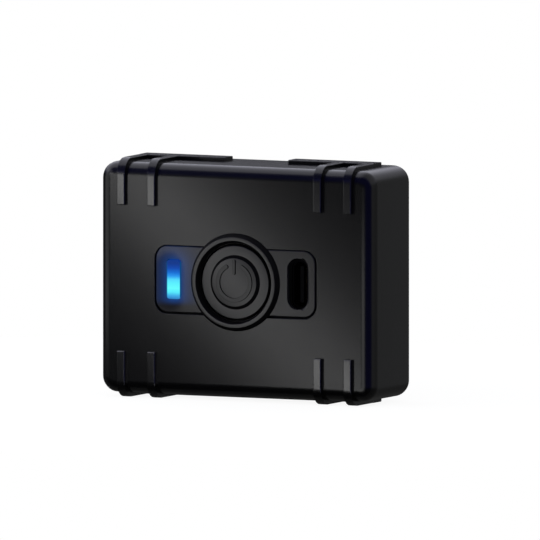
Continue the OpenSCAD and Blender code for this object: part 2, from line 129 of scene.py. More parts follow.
class Shader(Nodes):  # a material's nodes
    def __init__(self, name):
        self.material = bpy.data.materials.new(name)
        self.material.use_nodes = True
        super().__init__(self.material.node_tree)
        self.out = self.add("ShaderNodeOutputMaterial")

    def principled(self):
        bsdf = self.add("ShaderNodeBsdfPrincipled")
        self.join(bsdf.outputs["BSDF"], self.out.inputs["Surface"])
        return bsdf

    def noise(self, scale, detail, rough=0.55, stretch=None):
        node = self.add("ShaderNodeTexNoise")
        self.put(node, Scale=scale, Detail=detail, Roughness=rough)
        place = self.coords.outputs["Object"]
        if stretch:
            mapping = self.add("ShaderNodeMapping")
            self.put(mapping, Scale=stretch)
            self.join(place, mapping.inputs["Vector"])
            place = mapping.outputs["Vector"]
        self.join(place, node.inputs["Vector"])
        return node.outputs["Fac"]

    def ramp(self, source, stops):
        node = self.add("ShaderNodeValToRGB")
        marks = node.color_ramp.elements
        for mark, (place, colour) in zip(marks, (stops[0], stops[-1])):
            mark.position = place
            mark.color = (*colour, 1.0)
        for place, colour in stops[1:-1]:
            marks.new(place).color = (*colour, 1.0)
        self.join(source, node.inputs["Fac"])
        return node.outputs["Color"]

    def tint(self, source, dark, light):
        return self.ramp(source, list(zip(noiseBand, (dark, light))))

    def mix(self, share, colour, other):  # the colour where share is 0, the other where it is 1
        node = self.add("ShaderNodeMix", data_type="RGBA")
        factor, first, second = node.inputs["Factor"], node.inputs[6], node.inputs[7]
        self.join(share, factor)
        first.default_value = (*colour, 1)
        self.join(other, second)
        return node.outputs[2]

    def bump(self, height, strength, distance):
        node = self.add("ShaderNodeBump")
        self.put(node, Strength=strength, Distance=distance)
        self.join(height, node.inputs["Height"])
        return node.outputs["Normal"]


# finishes: a cloud varies the colour, a patch and a grain the roughness, and the grain is the bump

usual = {"patchScale": 240.0, "stretch": None, "bumpDepth": 0.02 * mm, "metal": 0.0, "ior": 1.45}
weave = {"cloudScale": 90.0, "cloudDetail": 3.0, "grainDetail": 2.0, "grainRough": 0.5,
         "patchDetail": 5.0, "patchRough": 0.6, "patchShare": 0.65, "grainShare": 0.35}


def finish(name, row, extra):  # a row of the table below as a material, with what extra adds to it
    look = {**usual, **row}
    s = Shader(name)
    bsdf = s.principled()
    cloud = s.noise(weave["cloudScale"], weave["cloudDetail"])
    s.join(s.tint(cloud, look["dark"], look["light"]), bsdf.inputs["Base Color"])
    grain = s.noise(look["grainScale"], weave["grainDetail"], weave["grainRough"],
                    look["stretch"])
    patch = s.noise(look["patchScale"], weave["patchDetail"], weave["patchRough"])
    mixed = s.calc("ADD", s.product(patch, weave["patchShare"]),
                   s.product(grain, weave["grainShare"]))
    rough = s.span(mixed, *noiseBand, *look["rough"])
    if extra:
        rough = extra(s, bsdf, rough)
    s.join(rough, bsdf.inputs["Roughness"])
    s.join(s.bump(grain, look["bump"], look["bumpDepth"]), bsdf.inputs["Normal"])
    s.put(bsdf, Metallic=look["metal"], IOR=look["ior"])
    return s.material


looks = {
    "housingPlastic": {"dark": (0.0018, 0.0018, 0.0022), "light": (0.0028, 0.0028, 0.0032),
                       "rough": (0.245, 0.27), "grainScale": 9000.0, "bump": 0.05},
    "panelPlastic": {"dark": (0.0024, 0.0022, 0.003), "light": (0.0034, 0.0032, 0.004),
                     "rough": (0.3, 0.33), "grainScale": 12000.0, "bump": 0.05, "ior": 1.52},
    "bezelPlastic": {"dark": (0.0026, 0.0024, 0.003), "light": (0.0036, 0.0034, 0.004),
                     "rough": (0.28, 0.31), "grainScale": 12000.0, "bump": 0.05, "ior": 1.2},
    "buttonPlastic": {"dark": (0.003, 0.0028, 0.0034), "light": (0.004, 0.0038, 0.0044),
                      "rough": (0.32, 0.35), "grainScale": 12000.0, "bump": 0.05, "ior": 1.12},
    "sealRubber": {"dark": (0.012, 0.012, 0.013), "light": (0.02, 0.02, 0.021),
                   "rough": (0.6, 0.75), "grainScale": 6000.0, "bump": 0.2},
    "portRubber": {"dark": (0.002, 0.002, 0.0022), "light": (0.003, 0.003, 0.0034),
                   "rough": (0.8, 0.9), "grainScale": 6000.0, "bump": 0.2, "ior": 1.15},
    "blackSteel": {"dark": (0.05, 0.05, 0.052), "light": (0.09, 0.09, 0.095), "metal": 1.0,
                   "rough": (0.3, 0.42), "grainScale": 9000.0, "bump": 0.08},
    "springSteel": {"dark": (0.42, 0.42, 0.44), "light": (0.56, 0.56, 0.58), "metal": 1.0,
                    "rough": (0.22, 0.34), "grainScale": 5000.0, "bump": 0.06,
                    "stretch": (0.1, 1, 1)},
    "blackMoulding": {"dark": (0.004, 0.004, 0.0045), "light": (0.008, 0.008, 0.0085),
                      "rough": (0.5, 0.62), "grainScale": 7000.0, "bump": 0.15},
    "plungerPlastic": {"dark": (0.5, 0.5, 0.48), "light": (0.62, 0.62, 0.6),
                       "rough": (0.4, 0.5), "grainScale": 6000.0, "bump": 0.08},
    "ledPackage": {"dark": (0.78, 0.78, 0.7), "light": (0.86, 0.86, 0.8),
                   "rough": (0.3, 0.4), "grainScale": 6000.0, "bump": 0.05},
    "portSteel": {"dark": (0.003, 0.003, 0.0034), "light": (0.006, 0.006, 0.007), "metal": 1.0,
                  "rough": (0.5, 0.6), "grainScale": 8000.0, "bump": 0.06,
                  "stretch": (1, 0.1, 1)},
    "portMoulding": {"dark": (0.0016, 0.0016, 0.002), "light": (0.0022, 0.0022, 0.0026),
                     "rough": (0.6, 0.7), "grainScale": 7000.0, "bump": 0.1, "ior": 1.2},
    "circuitBoard": {"dark": (0.006, 0.06, 0.03), "light": (0.012, 0.1, 0.05),
                     "rough": (0.28, 0.4), "grainScale": 3000.0, "bump": 0.1,
                     "patchScale": 900.0},
    "shieldMetal": {"dark": (0.5, 0.5, 0.5), "light": (0.62, 0.62, 0.62), "metal": 1.0,
                    "rough": (0.3, 0.45), "grainScale": 6000.0, "bump": 0.08,
                    "stretch": (0.15, 1, 1)},
    "antennaCeramic": {"dark": (0.56, 0.49, 0.37), "light": (0.66, 0.59, 0.46),
                       "rough": (0.35, 0.5), "grainScale": 4000.0, "bump": 0.1},
    "antennaFilm": {"dark": (0.42, 0.18, 0.04), "light": (0.55, 0.26, 0.07),
                    "rough": (0.3, 0.4), "grainScale": 3000.0, "bump": 0.05},
    "contactBrass": {"dark": (0.7, 0.5, 0.18), "light": (0.86, 0.66, 0.3), "metal": 1.0,
                     "rough": (0.22, 0.35), "grainScale": 6000.0, "bump": 0.05},
    "cardPlastic": {"dark": (0.74, 0.74, 0.7), "light": (0.82, 0.82, 0.79),
                    "rough": (0.35, 0.5), "grainScale": 4000.0, "bump": 0.06},
    "cellPouch": {"dark": (0.6, 0.61, 0.63), "light": (0.74, 0.75, 0.77), "metal": 1.0,
                  "rough": (0.3, 0.5), "grainScale": 700.0, "bump": 0.3, "bumpDepth": 0.06 * mm},
    "cellTape": {"dark": (0.55, 0.3, 0.03), "light": (0.72, 0.42, 0.06),
                 "rough": (0.25, 0.4), "grainScale": 1200.0, "bump": 0.2},
    "foam": {"dark": (0.03, 0.03, 0.033), "light": (0.07, 0.07, 0.075),
             "rough": (0.8, 0.95), "grainScale": 2600.0, "bump": 0.8, "bumpDepth": 0.08 * mm},
    "adhesive": {"dark": (0.74, 0.73, 0.68), "light": (0.82, 0.81, 0.77),
                 "rough": (0.5, 0.65), "grainScale": 1500.0, "bump": 0.2},
    "redInsulation": {"dark": (0.42, 0.012, 0.02), "light": (0.55, 0.025, 0.035),
                      "rough": (0.35, 0.5), "grainScale": 3000.0, "bump": 0.08},
    "blackInsulation": {"dark": (0.012, 0.012, 0.012), "light": (0.022, 0.022, 0.022),
                        "rough": (0.35, 0.5), "grainScale": 3000.0, "bump": 0.08},
    "plugPlastic": {"dark": (0.66, 0.64, 0.56), "light": (0.78, 0.76, 0.69),
                    "rough": (0.4, 0.5), "grainScale": 5000.0, "bump": 0.06},
}


# what the parts that show add to their finishes

crowns = {"from": (-0.74, -0.6), "rough": 0.25, "ior": 1.5}
pocket = {"halfX": (17.0, 17.5), "halfZ": (9.5, 10.0), "mouth": (0.25, 0.5), "floor": (3.0, 4.0),
          "rougher": 0.7}


def ribCrowns(s, bsdf, rough):  # the ribs' rubbed crowns shine more, and the panel's recess less
    x, y, z = s.axes()
    s.join(s.ease(y, *depths(*crowns["from"]), 1.0, 0.0), bsdf.inputs["Coat Weight"])
    s.put(bsdf, Coat_Roughness=crowns["rough"], Coat_IOR=crowns["ior"])
    rise = s.calc("ABSOLUTE", s.calc("SUBTRACT", z, at(0, 0, 0).z))
    inX, outX = (v * mm for v in pocket["halfX"])
    inZ, outZ = (v * mm for v in pocket["halfZ"])
    within = s.product(s.ease(s.calc("ABSOLUTE", x), inX, outX, 1.0, 0.0),
                       s.ease(rise, inZ, outZ, 1.0, 0.0),
                       s.ease(y, *depths(*pocket["mouth"]), 0.0, 1.0),
                       s.ease(y, *depths(*pocket["floor"]), 1.0, 0.0))
    return s.calc("ADD", rough, s.product(within, pocket["rougher"]))


def aroundWindow(s, x, low, high):  # distance in mm from an upright line in front of the window
    place = s.axes()
    side = s.product(s.calc("SUBTRACT", place[0], x * mm), 1 / mm)
    rise = s.product(s.calc("SUBTRACT", place[2], at(0, 0, (low + high) / 2).z), 1 / mm)
    over = s.calc("SUBTRACT", s.calc("ABSOLUTE", rise), (high - low) / 2)
    over = s.calc("MAXIMUM", over, 0.0)
    return s.calc("SQRT", s.calc("ADD", s.product(side, side), s.product(over, over)))


def turnedForward(s, low, high):  # 1 on the faces turned to the front
    return s.ease(s.product(s.axes("Normal")[1], -1.0), low, high)


# painted glow: a blue emission on the panel itself, strongest at the window's edge, fading with
# distance from it and towards the bottom
paintedHalo = {"x": -12.45, "low": -2.6, "high": 2.4, "edge": 1.3, "reach": 1.5,
        "tint": (0.0, 0.034, 0.17), "floor": (-5.0, -3.6)}
haze = {"x": paintedHalo["x"] - 1.1, "low": -3.4, "high": 2.0, "band": (1.6, 3.6), "rougher": 0.4}
panelSides = {"facing": (0.5, 0.9), "rougher": 0.6}


def paintedWindowGlow(s, bsdf, rough):  # a painted glow: blue emission on the panel round the window, and a rougher panel near the window and on its sides
    gap = s.calc("SUBTRACT", aroundWindow(s, paintedHalo["x"], paintedHalo["low"], paintedHalo["high"]), paintedHalo["edge"])
    fall = s.product(s.calc("MAXIMUM", gap, 0.0), -1 / paintedHalo["reach"])
    fade = s.product(s.calc("POWER", math.e, fall), s.ease(s.axes()[2], *heights(*paintedHalo["floor"])))
    s.join(s.ramp(fade, [(0.0, (0, 0, 0)), (1.0, paintedHalo["tint"])]), bsdf.inputs["Emission Color"])
    s.put(bsdf, Emission_Strength=1.0)
    near = aroundWindow(s, haze["x"], haze["low"], haze["high"])
    hazy = s.ease(near, *haze["band"], haze["rougher"], 0.0)
    sides = s.calc("SUBTRACT", 1.0, turnedForward(s, *panelSides["facing"]))
    return s.calc("ADD", s.calc("ADD", rough, hazy), s.product(sides, panelSides["rougher"]))


bezelLow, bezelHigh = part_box("button_bezel")
wider = 0.12  # the scene's ring has a wider foot than the solid
bezel = {"foot": bezelHigh.x / mm + wider, "height": body["frontY"] - bezelLow.y / mm,
         "bore": 7.15, "crownIn": 7.625, "crownOut": 8.375, "round": 0.15, "leastRound": 0.03,
         "spigot": 7.55, "depth": 0.9, "path": 8.0}
cap = {"radius": 6.85, "rim": 0.1, "round": 0.25, "disc": 5.0, "slope": 0.5, "top": 0.6,
       "discRound": 0.12, "discFlat": 0.1, "toe": (0.06, 0.05), "rimFlat": 0.1, "backEdge": 0.06,
       "back": 0.95, "stem": 1.6, "stemFoot": 0.15, "groove": 1.0, "grooveFrom": 1.95,
       "grooveTo": 2.75, "neck": 1.2, "clipFrom": 3.45, "clipTo": 3.85, "end": 4.18,
       "stemEnd": 0.1}
coatFacing = (0.86, 0.98)
ringCoat = {"ior": 1.5, "rough": 0.29, "rougher": 0.2}
capCoat = {"ior": 1.6, "rough": 0.33, "rougher": 0.2, "onSign": 0.78, "proud": (0.12, 0.05)}


def polishedFront(s, bsdf, rough, coat, share=1.0):  # only faces turned to the front are polished
    s.join(s.product(turnedForward(s, *coatFacing), share), bsdf.inputs["Coat Weight"])
    s.put(bsdf, Coat_IOR=coat["ior"], Coat_Roughness=coat["rough"])
    return s.calc("ADD", rough, coat["rougher"])


def ringPolish(s, bsdf, rough):
    return polishedFront(s, bsdf, rough, ringCoat)


def capPolish(s, bsdf, rough):  # the sign stands in front of the cap's disc, and shines less
    sign, disc = depths(*(-cap["top"] - v for v in capCoat["proud"]))
    share = s.ease(s.axes()[1], sign, disc, capCoat["onSign"], 1.0)
    return polishedFront(s, bsdf, rough, capCoat, share)


extras = {"housingPlastic": ribCrowns, "panelPlastic": paintedWindowGlow, "bezelPlastic": ringPolish,
          "buttonPlastic": capPolish}
paint = {name: finish(name, row, extras.get(name)) for name, row in looks.items()}
print("tracker:", len(paint), "finishes made")


# mesh helpers


def dress(piece, material, rider, stands=()):
    piece.data.materials.clear()
    piece.data.materials.append(material)
    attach(piece, rider)
    if stands:
        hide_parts(*stands)


def newPiece(name, mesh):
    piece = bpy.data.objects.new(name, mesh)
    scene.collection.objects.link(piece)
    return piece


def meshFrom(bm, name):
    mesh = bpy.data.meshes.new(name)
    bm.to_mesh(mesh)
    bm.free()
    return mesh


def settle(piece):  # the evaluated mesh takes the place of the mesh and its modifiers
    graph = bpy.context.evaluated_depsgraph_get()
    result = bpy.data.meshes.new_from_object(piece.evaluated_get(graph), depsgraph=graph)
    piece.modifiers.clear()
    piece.data = result


shading = {"turned": 32.0, "rounded": 50.0, "weight": 90}


def shade(piece, crease):  # even shading, and sharp edges only where the turn is over crease
    for polygon in piece.data.polygons:
        polygon.use_smooth = True
    piece.data.set_sharp_from_angle(angle=math.radians(crease))
    weighted = piece.modifiers.new("shading", "WEIGHTED_NORMAL")
    weighted.keep_sharp = True
    weighted.weight = shading["weight"]
    settle(piece)


def soften(piece, width, steps, angle):  # small rounded edges where the turn is over angle
    bevel = piece.modifiers.new("edges", "BEVEL")
    bevel.width = width * mm
    bevel.segments = steps
    bevel.limit_method = "ANGLE"
    bevel.angle_limit = math.radians(angle)
    bevel.miter_outer = "MITER_ARC"
    settle(piece)
    shade(piece, shading["rounded"])


weld = {"near": 0.002 * mm, "flat": 0.6}


def merged(node):  # a merged copy of a solid's mesh, with flat faces made whole again
    bm = bmesh.new()
    bm.from_mesh(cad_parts[node].data)
    bmesh.ops.remove_doubles(bm, verts=bm.verts, dist=weld["near"])
    bmesh.ops.dissolve_limit(bm, angle_limit=math.radians(weld["flat"]), verts=bm.verts,
                             edges=bm.edges)
    return meshFrom(bm, node + "Mesh")


def roundRim(piece, chosen, width, steps):  # a wider rounding on some of the front face's edges
    bm = bmesh.new()
    bm.from_mesh(piece.data)
    near = 0.001 * mm
    front, middle = at(0, 0, 0).y, at(0, 0, 0).z
    rim = [e for e in bm.edges
           if all(abs(v.co.y - front) < near and chosen(v.co.x / mm, (v.co.z - middle) / mm)
                  for v in e.verts)]
    bmesh.ops.bevel(bm, geom=rim, offset=width * mm, segments=steps, profile=0.5, affect="EDGES")
    bm.to_mesh(piece.data)
    bm.free()


def following(count):  # each place round a closed loop, with the next one
    return [(k, (k + 1) % count) for k in range(count)]


def lathe(name, profile, steps=128):  # radius and height above the panel; the ends have radius 0
    bm = bmesh.new()
    angles = [2 * math.pi * k / steps for k in range(steps)]
    first = bm.verts.new(at(0, -profile[0][1], 0))
    rings = [[bm.verts.new(at(radius * math.cos(angle), -height, radius * math.sin(angle)))
              for angle in angles] for radius, height in profile[1:-1]]
    last = bm.verts.new(at(0, -profile[-1][1], 0))
    for k, n in following(steps):
        bm.faces.new((first, rings[0][k], rings[0][n]))
    for a, b in zip(rings, rings[1:]):
        for k, n in following(steps):
            bm.faces.new((a[k], a[n], b[n], b[k]))
    for k, n in following(steps):
        bm.faces.new((rings[-1][k], rings[-1][n], last))
    bmesh.ops.recalc_face_normals(bm, faces=bm.faces)
    return newPiece(name, meshFrom(bm, name))


def prism(name, outline, near, far):  # an outline seen from the front, between two depths
    bm = bmesh.new()
    front = [bm.verts.new(at(x, near, z)) for x, z in outline]
    back = [bm.verts.new(at(x, far, z)) for x, z in outline]
    bm.faces.new(front)
    bm.faces.new(list(reversed(back)))
    for k, n in following(len(outline)):
        bm.faces.new((front[k], back[k], back[n], front[n]))
    bmesh.ops.recalc_face_normals(bm, faces=bm.faces)
    return newPiece(name, meshFrom(bm, name))


def turned(radius, angle):
    return radius * math.cos(math.radians(angle)), radius * math.sin(math.radians(angle))


def arc(middle, radius, start, stop, steps):
    places = [turned(radius, start + (stop - start) * k / steps) for k in range(steps + 1)]
    return [(middle[0] + x, middle[1] + y) for x, y in places]


class Tree:  # a Geometry Nodes tree, with a named input for each size
    def __init__(self, name, sizes):
        self.group = bpy.data.node_groups.new(name, "GeometryNodeTree")
        self.keys = {}
        self.socket("mesh", "Geometry", "OUTPUT")
        for label, value in sizes.items():
            self.socket(label, "Int" if isinstance(value, int) else "Float", "INPUT")
        self.socket("finish", "Material", "INPUT")
        self.given = self.group.nodes.new("NodeGroupInput").outputs

    def socket(self, label, kind, side):
        made = self.group.interface.new_socket(name=label, in_out=side,
                                               socket_type="NodeSocket" + kind)
        self.keys[label] = made.identifier

    def add(self, kind, sockets=None, **fields):
        node = self.group.nodes.new(kind)
        for key, value in fields.items():
            setattr(node, key, value)
        for key, value in (sockets or {}).items():
            if isinstance(value, bpy.types.NodeSocket):
                self.group.links.new(value, node.inputs[key])
            else:
                node.inputs[key].default_value = value
        return node.outputs[0]

    def calc(self, operation, a, b):
        return self.add("ShaderNodeMath", {0: a, 1: b}, operation=operation)

    def plus(self, a, b):
        return self.calc("ADD", a, b)

    def less(self, a, b):
        return self.calc("SUBTRACT", a, b)

    def times(self, a, b):
        return self.calc("MULTIPLY", a, b)

    def vector(self, x=0.0, y=0.0, z=0.0):
        return self.add("ShaderNodeCombineXYZ", {"X": x, "Y": y, "Z": z})

    def moved(self, mesh, place, turn=(0.0, 0.0, 0.0)):
        return self.add("GeometryNodeTransform",
                        {"Geometry": mesh, "Translation": place, "Rotation": turn})

    def drum(self, sides, radius, depth):
        return self.add("GeometryNodeMeshCylinder",
                        {"Vertices": sides, "Radius": radius, "Depth": depth})

    def swept(self, path, section, caps=False):
        return self.add("GeometryNodeCurveToMesh",
                        {"Curve": path, "Profile Curve": section, "Fill Caps": caps})

    def join(self, *parts):
        node = self.group.nodes.new("GeometryNodeJoinGeometry")
        for part in parts:
            self.group.links.new(part, node.inputs["Geometry"])
        return node.outputs[0]

    def end(self, mesh):
        real = self.add("GeometryNodeRealizeInstances", {"Geometry": mesh})
        painted = self.add("GeometryNodeSetMaterial",
                           {"Geometry": real, "Material": self.given["finish"]})
        out = self.group.nodes.new("NodeGroupOutput")
        self.group.links.new(painted, out.inputs[0])
        return self


def grown(name, tree, sizes, material):  # the tree's result as a plain mesh
    piece = newPiece(name, bpy.data.meshes.new(name))
    step = piece.modifiers.new("tree", "NODES")
    step.node_group = tree.group
    for label, value in sizes.items():
        step[tree.keys[label]] = value
    step[tree.keys["finish"]] = material
    settle(piece)
    return piece


# the housing and its cover

housing = {"edge": 0.12, "angle": 32.0, "recessEdge": 0.16, "recessHalfX": 16.6,
           "recessHalfZ": 9.1}
cover = {"edge": 0.15, "angle": 35.0}


def inRecess(x, z):
    return abs(x) < housing["recessHalfX"] and abs(z) < housing["recessHalfZ"]


housingShell = newPiece("housingShell", merged("housing"))
roundRim(housingShell, inRecess, housing["recessEdge"], 3)
soften(housingShell, housing["edge"], 2, housing["angle"])
dress(housingShell, paint["housingPlastic"], "tracker", ("housing",))

backCover = newPiece("backCover", merged("rear_cover"))
soften(backCover, cover["edge"], 3, cover["angle"])
dress(backCover, paint["housingPlastic"], "tracker", ("rear_cover",))
print("tracker: housing and cover made,", len(housingShell.data.polygons), "faces")

# the panel

panel = {"drawnIn": 0.12, "lift": 0.12, "edge": 0.06, "angle": 50.0, "outerEdge": 0.2,
         "outerX": 15.0, "outerZ": 5.6, "slotEdge": 0.5, "slotFrom": 12.7, "slotTo": 14.8,
         "slotHalf": 4.8}


def onOutline(x, z):
    return abs(x) > panel["outerX"] or abs(z) > panel["outerZ"]


def onSlot(x, z):  # the side of the slot that shows its wall
    return panel["slotFrom"] < x < panel["slotTo"] and abs(z) < panel["slotHalf"]


inlaidPanel = newPiece("inlaidPanel", merged("control_panel"))
for v in inlaidPanel.data.vertices:  # each half lies nearer to the middle, and the whole higher
    v.co.x -= math.copysign(panel["drawnIn"] * mm, v.co.x)
    v.co.z += panel["lift"] * mm
roundRim(inlaidPanel, onSlot, panel["slotEdge"], 4)
roundRim(inlaidPanel, onOutline, panel["outerEdge"], 3)
soften(inlaidPanel, panel["edge"], 2, panel["angle"])
dress(inlaidPanel, paint["panelPlastic"], "tracker", ("control_panel",))

# the ring round the button

ringSteps = {"round": 144, "corner": 6}


def ringTree(sizes):  # a four-sided section with rounded corners, and a sleeve behind it
    tree = Tree("buttonRing", sizes)
    given = tree.given
    crest = tree.times(given["height"], -1.0)  # a section's second axis runs into the panel
    points = (("foot", 0.0), ("bore", given["round"]), ("crownIn", crest), ("crownOut", crest))
    corners = {f"Point {number}": tree.vector(tree.less(given[radius], given["path"]), level)
               for number, (radius, level) in enumerate(points, 1)}
    section = tree.add("GeometryNodeCurvePrimitiveQuadrilateral", corners, mode="POINTS")
    place = tree.add("ShaderNodeSeparateXYZ", {0: tree.add("GeometryNodeInputPosition")}).node
    level = tree.plus(place.outputs["Y"], given["round"])
    onCrown = tree.calc("LESS_THAN", level, 0.0)
    rounding = tree.plus(tree.times(onCrown, given["round"]), given["leastRound"])
    section = tree.add("GeometryNodeFilletCurve",
                       {"Curve": section, "Count": ringSteps["corner"], "Radius": rounding,
                        "Limit Radius": True}, mode="POLY")
    sleeve = tree.add("GeometryNodeCurvePrimitiveQuadrilateral",
                      {"Width": tree.less(given["spigot"], given["bore"]),
                       "Height": tree.less(given["depth"], given["round"])})
    middle = tree.times(tree.plus(given["bore"], given["spigot"]), 0.5)
    lower = tree.times(tree.plus(given["depth"], given["round"]), 0.5)
    sleeve = tree.moved(sleeve, tree.vector(tree.less(middle, given["path"]), lower))
    path = tree.add("GeometryNodeCurvePrimitiveCircle",
                    {"Resolution": ringSteps["round"], "Radius": given["path"]})
    whole = tree.join(*(tree.swept(path, outline) for outline in (section, sleeve)))
    return tree.end(tree.moved(whole, tuple(at(0, 0, 0)), (math.radians(90), 0.0, 0.0)))


sizes = {key: value * mm for key, value in bezel.items()}
buttonRing = grown("buttonRing", ringTree(sizes), sizes, paint["bezelPlastic"])
shade(buttonRing, shading["turned"])
dress(buttonRing, paint["bezelPlastic"], "tracker", ("button_bezel",))

# the button: a cap with a raised disc, and a stem with a groove for the seal and one for the clip


def capProfile():
    toeIn, toeUp = cap["toe"]
    discRound, rimRound = cap["discRound"], cap["round"]
    stem, back = cap["stem"], -cap["back"]
    points = [(0.0, cap["top"])]
    points += arc((cap["disc"] - cap["slope"] - cap["discFlat"], cap["top"] - discRound),
                  discRound, 90, 45, 3)
    points += [(cap["disc"] - toeIn, cap["rim"] + toeUp), (cap["disc"], cap["rim"]),
               (cap["disc"] + cap["rimFlat"], cap["rim"])]
    points += arc((cap["radius"] - rimRound, cap["rim"] - rimRound), rimRound, 90, 0, 8)
    points += [(cap["radius"], back + cap["backEdge"]), (cap["radius"] - cap["backEdge"], back),
               (stem + cap["stemFoot"], back), (stem, back - cap["stemFoot"])]
    for low, start, stop in (("groove", "grooveFrom", "grooveTo"), ("neck", "clipFrom", "clipTo")):
        points += [(stem, -cap[start]), (cap[low], -cap[start]), (cap[low], -cap[stop]),
                   (stem, -cap[stop])]
    points += [(stem, cap["stemEnd"] - cap["end"]), (stem - cap["stemEnd"], -cap["end"]),
               (0.0, -cap["end"])]
    return points


buttonCap = lathe("buttonCap", capProfile())
shade(buttonCap, shading["turned"])
dress(buttonCap, paint["buttonPlastic"], "button", ("power_button",))

# the power sign on the cap: an open ring and an upright bar, with round ends

sign = {"inner": 2.85, "outer": 3.65, "gap": 29.0, "barHalf": 0.28, "barFrom": 1.4, "barTo": 4.25,
        "raised": 0.2, "sunk": 0.1, "edge": 0.05, "angle": 40.0, "steps": 72, "endSteps": 8}


def openRing():
    middle = (sign["inner"] + sign["outer"]) / 2
    half = (sign["outer"] - sign["inner"]) / 2
    start, stop = 90 + sign["gap"], 450 - sign["gap"]
    points = arc((0, 0), sign["outer"], start, stop, sign["steps"])
    points += arc(turned(middle, stop), half, stop, stop + 180, sign["endSteps"])[1:-1]
    points += arc((0, 0), sign["inner"], stop, start, sign["steps"])
    points += arc(turned(middle, start), half, start + 180, start + 360, sign["endSteps"])[1:-1]
    return points


def uprightBar():
    half = sign["barHalf"]
    return arc((0, sign["barTo"] - half), half, 0, 180, sign["endSteps"]) \
        + arc((0, sign["barFrom"] + half), half, 180, 360, sign["endSteps"])


for name, outline in (("signRing", openRing()), ("signBar", uprightBar())):
    mark = prism(name, outline, -cap["top"] - sign["raised"], sign["sunk"] - cap["top"])
    soften(mark, sign["edge"], 2, sign["angle"])
    dress(mark, paint["buttonPlastic"], "button")
print("tracker: panel, bezel and button made")

# the status window

window = {"edge": 0.12, "angle": 40.0, "bottom": -4.0, "top": 4.0, "left": (-13.95, -13.7),
          "right": (-11.35, -11.2), "wispScale": 700.0, "wispDetail": 2.0,
          "drift": (0.07, 0.084), "rough": (0.4, 0.48), "ior": 1.2, "rim": (0.004, 0.06, 0.19),
          "dark": (0.0, 0.004, 0.012), "light": (0.0, 0.006, 0.018)}
windowTints = [  # from the bottom to the top
    (0.03, (0.0, 0.03, 0.1)), (0.1, (0.006, 0.11, 0.33)), (0.16, (0.035, 0.27, 0.64)),
    (0.215, (0.05, 0.43, 0.8)), (0.29, (0.09, 0.82, 0.97)), (0.38, (0.13, 0.98, 1.0)),
    (0.5, (0.1, 0.86, 1.0)), (0.58, (0.085, 0.7, 0.98)), (0.66, (0.024, 0.31, 0.85)),
    (0.74, (0.006, 0.15, 0.64)), (0.84, (0.004, 0.06, 0.4)), (0.95, (0.004, 0.035, 0.24)),
]


def windowGlow():  # brightest just below the middle, and fading into blue at the top
    s = Shader("windowGlow")
    bsdf = s.principled()
    x, _, z = s.axes()
    wisp = s.noise(window["wispScale"], window["wispDetail"])
    along = s.span(z, *heights(window["bottom"], window["top"]), 0.0, 1.0)
    along = s.calc("ADD", along, s.span(wisp, *noiseBand, *window["drift"]))
    left, right = ([v * mm for v in window[side]] for side in ("left", "right"))
    within = s.product(s.ease(x, *left), s.ease(x, *right, 1.0, 0.0))
    colour = s.mix(within, window["rim"], s.ramp(along, windowTints))
    s.join(colour, bsdf.inputs["Emission Color"])
    s.join(s.tint(wisp, window["dark"], window["light"]), bsdf.inputs["Base Color"])
    s.join(s.span(wisp, *noiseBand, *window["rough"]), bsdf.inputs["Roughness"])
    s.put(bsdf, Emission_Strength=1.0, IOR=window["ior"])
    return s.material


statusWindow = newPiece("statusWindow", merged("led_lens"))
soften(statusWindow, window["edge"], 2, window["angle"])
dress(statusWindow, windowGlow(), "tracker", ("led_lens",))

# the screws and the port's contacts repeat, so a tree of nodes makes each set

screwSets = {
    "coverScrews": {"stands": "case_screws", "headRadius": 1.9, "headHeight": 1.1,
                    "shankRadius": 0.95, "socketRadius": 1.0, "socketDepth": 0.6, "pitch": 0.7},
    "boardScrews": {"stands": "board_screws", "headRadius": 1.6, "headHeight": 0.8,
                    "shankRadius": 0.8, "socketRadius": 0.8, "socketDepth": 0.5, "pitch": 0.5},
}
screw = {"thread": 0.14, "threaded": 0.88, "foot": 0.98, "edge": 0.08, "angle": 40.0,
         "headSides": 48, "socketSides": 6, "coreSides": 24, "turnSteps": 20, "threadSides": 4}


def screwTree(sizes):  # four socket screws at the corners of a rectangle
    tree = Tree("cornerScrews", sizes)
    given = tree.given
    length, headHeight, thread = given["length"], given["headHeight"], given["thread"]
    head = tree.moved(tree.drum(screw["headSides"], given["headRadius"], headHeight),
                      tree.vector(z=tree.times(headHeight, -0.5)))
    socket = tree.drum(screw["socketSides"], given["socketRadius"],
                       tree.times(given["socketDepth"], 2.0))
    head = tree.add("GeometryNodeMeshBoolean", {"Mesh 1": head, "Mesh 2": socket},
                    operation="DIFFERENCE")
    core = tree.less(given["shankRadius"], thread)
    shank = tree.moved(tree.drum(screw["coreSides"], core, length),
                       tree.vector(z=tree.less(tree.times(length, -0.5), headHeight)))
    run = tree.times(length, screw["threaded"])
    spiral = tree.add("GeometryNodeCurveSpiral",
                      {"Resolution": screw["turnSteps"], "Start Radius": core, "End Radius": core,
                       "Rotations": tree.calc("DIVIDE", run, given["pitch"]), "Height": run})
    diamond = tree.add("GeometryNodeCurvePrimitiveCircle",
                       {"Resolution": screw["threadSides"], "Radius": thread})
    foot = tree.plus(tree.times(length, screw["foot"]), headHeight)
    spiral = tree.moved(tree.swept(spiral, diamond, True), tree.vector(z=tree.times(foot, -1.0)))
    corners = tree.add("GeometryNodeMeshGrid",
                       {"Size X": given["apartX"], "Size Y": given["apartZ"],
                        "Vertices X": 2, "Vertices Y": 2})
    screws = tree.add("GeometryNodeInstanceOnPoints",
                      {"Points": corners, "Instance": tree.join(head, shank, spiral)})
    screws = tree.add("GeometryNodeRealizeInstances", {"Geometry": screws})
    middle = tree.vector(0.0, given["topY"], given["midZ"])
    return tree.end(tree.moved(screws, middle, (math.radians(-90), 0.0, 0.0)))


